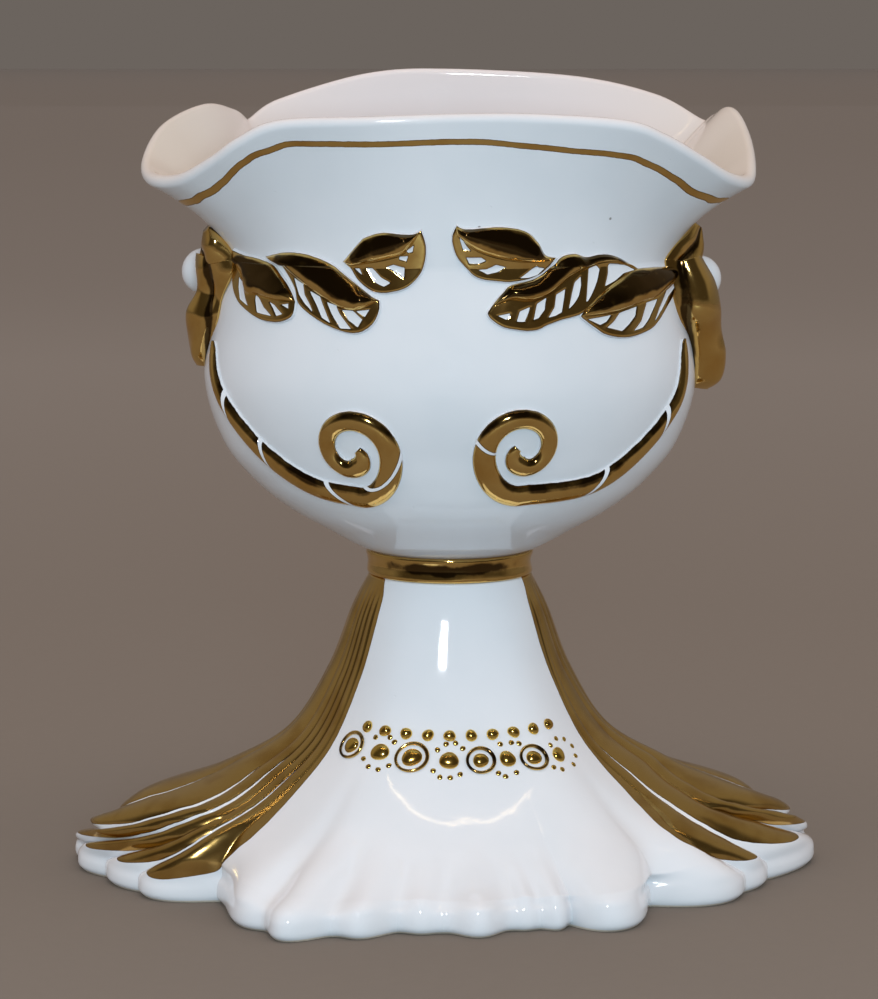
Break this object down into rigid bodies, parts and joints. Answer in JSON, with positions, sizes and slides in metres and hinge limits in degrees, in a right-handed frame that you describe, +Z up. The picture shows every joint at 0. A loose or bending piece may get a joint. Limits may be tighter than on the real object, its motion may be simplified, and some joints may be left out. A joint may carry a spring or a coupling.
{
  "type": "head vase",
  "caption": "Glazed pottery head-shaped vase with a pinched cocked-hat brim, leaf, scroll and bead sprigs and a flared, fluted cape-like pedestal.",
  "frame": {"origin": "on the table under the middle of the pedestal's hem", "axes": "+Z up, front of the vase towards -Y, +X to the viewer's right"},
  "size_m": [0.2778, 0.222, 0.2941],
  "materials": {
    "white_glaze": "glossy milk-white glaze",
    "gold_lustre": "fired gold lustre over the glaze"
  },
  "bodies": {
    "root": {"head_bowl": "white_glaze", "jaw_scroll_left": "gold_lustre", "jaw_scroll_right": "gold_lustre", "leaf_left_1": "gold_lustre", "leaf_left_2": "gold_lustre", "leaf_left_3": "gold_lustre", "leaf_right_1": "gold_lustre", "leaf_right_2": "gold_lustre", "leaf_right_3": "gold_lustre", "lower_bead_01": "gold_lustre", "lower_bead_02": "gold_lustre", "lower_bead_03": "gold_lustre", "lower_bead_04": "gold_lustre", "lower_bead_05": "gold_lustre", "lower_bead_06": "gold_lustre", "lower_bead_07": "gold_lustre", "lower_bead_08": "gold_lustre", "neck_collar": "gold_lustre", "necklace_ring_01": "gold_lustre", "necklace_ring_03": "gold_lustre", "necklace_ring_05": "gold_lustre", "necklace_ring_07": "gold_lustre", "pearl_left": "white_glaze", "pearl_right": "white_glaze", "pedestal": "white_glaze", "side_lock_left": "gold_lustre", "side_lock_right": "gold_lustre", "upper_bead_01": "gold_lustre", "upper_bead_02": "gold_lustre", "upper_bead_03": "gold_lustre", "upper_bead_04": "gold_lustre", "upper_bead_05": "gold_lustre", "upper_bead_06": "gold_lustre", "upper_bead_07": "gold_lustre", "upper_bead_08": "gold_lustre", "upper_bead_09": "gold_lustre", "upper_bead_10": "gold_lustre"}
  },
  "joints": []
}
